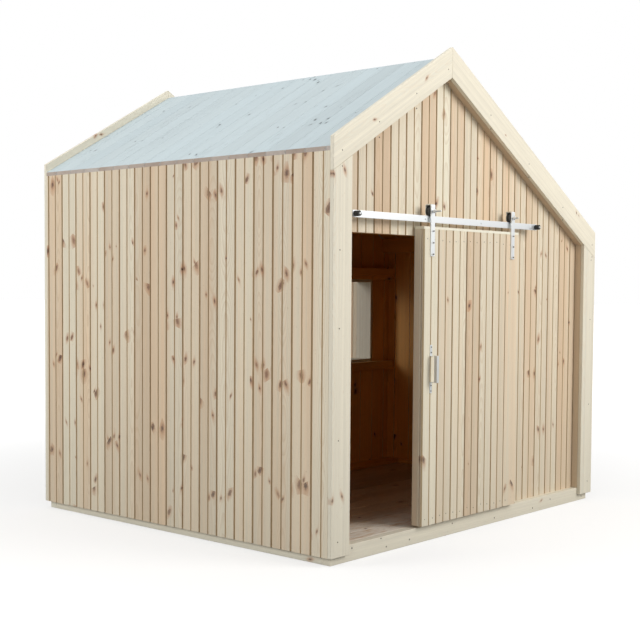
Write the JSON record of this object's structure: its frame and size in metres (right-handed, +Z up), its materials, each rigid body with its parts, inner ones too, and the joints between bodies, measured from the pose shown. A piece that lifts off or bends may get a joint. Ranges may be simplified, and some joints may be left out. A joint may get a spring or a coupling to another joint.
{
  "type": "playhouse",
  "caption": "Wooden playhouse with an uneven gable roof, grooved board walls, a covered back porch and a sliding front door on a steel rail.",
  "frame": {"origin": "on the ground in the middle of the base frame", "axes": "+X to the right along the front gable, +Y from the front to the back, +Z up"},
  "size_m": [2.19, 1.985, 2.236],
  "materials": {
    "wall_boards": "planed, untreated spruce",
    "planed_boards": "planed, untreated spruce",
    "framing": "planed, untreated spruce",
    "floor_boards": "planed, trodden spruce",
    "roof_boards": "thin blue-grey stain, matt",
    "galvanised_steel": "galvanised",
    "black_rubber": "matt",
    "black_wheel": "satin"
  },
  "bodies": {
    "house": {"end_sills": "planed_boards", "side_sills": "planed_boards", "floor_joists": "framing", "floor_boards": "floor_boards", "floor_edges": "floor_boards", "left_wall": "wall_boards", "right_wall": "wall_boards", "top_plates": "framing", "front_wall_left": "wall_boards", "front_wall_right": "wall_boards", "front_gable": "wall_boards", "doorway_studs": "framing", "doorway_header": "framing", "front_posts": "framing", "front_rafter_left": "framing", "front_rafter_right": "framing", "front_corner_boards": "planed_boards", "front_barge_left": "planed_boards", "front_barge_right": "planed_boards", "back_posts": "framing", "back_rafter_left": "framing", "back_rafter_right": "framing", "back_corner_boards": "planed_boards", "back_barge_left": "planed_boards", "back_barge_right": "planed_boards", "rear_wall_left": "wall_boards", "rear_wall_right": "wall_boards", "rear_wall_below": "wall_boards", "rear_gable": "wall_boards", "rear_rails": "framing", "window_jambs": "planed_boards", "window_boards": "planed_boards", "roof_left": "roof_boards", "roof_right": "roof_boards", "roof_beams": "framing", "door_rail": "galvanised_steel", "rail_standoffs": "galvanised_steel", "rail_stops": "black_rubber"},
    "door": {"door_boards": "wall_boards", "door_stiles": "framing", "door_rails": "framing", "door_cap": "planed_boards", "hangers": "galvanised_steel", "handle": "galvanised_steel"},
    "left_wheel": {"wheel_left": "black_wheel"},
    "right_wheel": {"wheel_right": "black_wheel"}
  },
  "joints": [
    {"name": "door_slide", "type": "slide", "parent": "house", "child": "door", "axis": [1, 0, 0], "range_m": [-0.49, 0.19]},
    {"name": "left_wheel_spin", "type": "hinge", "parent": "door", "child": "left_wheel", "pos_m": [-0.421, -0.963, 1.4883], "axis": [0, 1, 0], "range_deg": [-1500, 600]},
    {"name": "right_wheel_spin", "type": "hinge", "parent": "door", "child": "right_wheel", "pos_m": [0.245, -0.963, 1.4883], "axis": [0, 1, 0], "range_deg": [-1500, 600]}
  ],
  "couplings": [
    {"joint": "left_wheel_spin", "follows": "door_slide", "rad_per_m": 50},
    {"joint": "right_wheel_spin", "follows": "door_slide", "rad_per_m": 50}
  ]
}
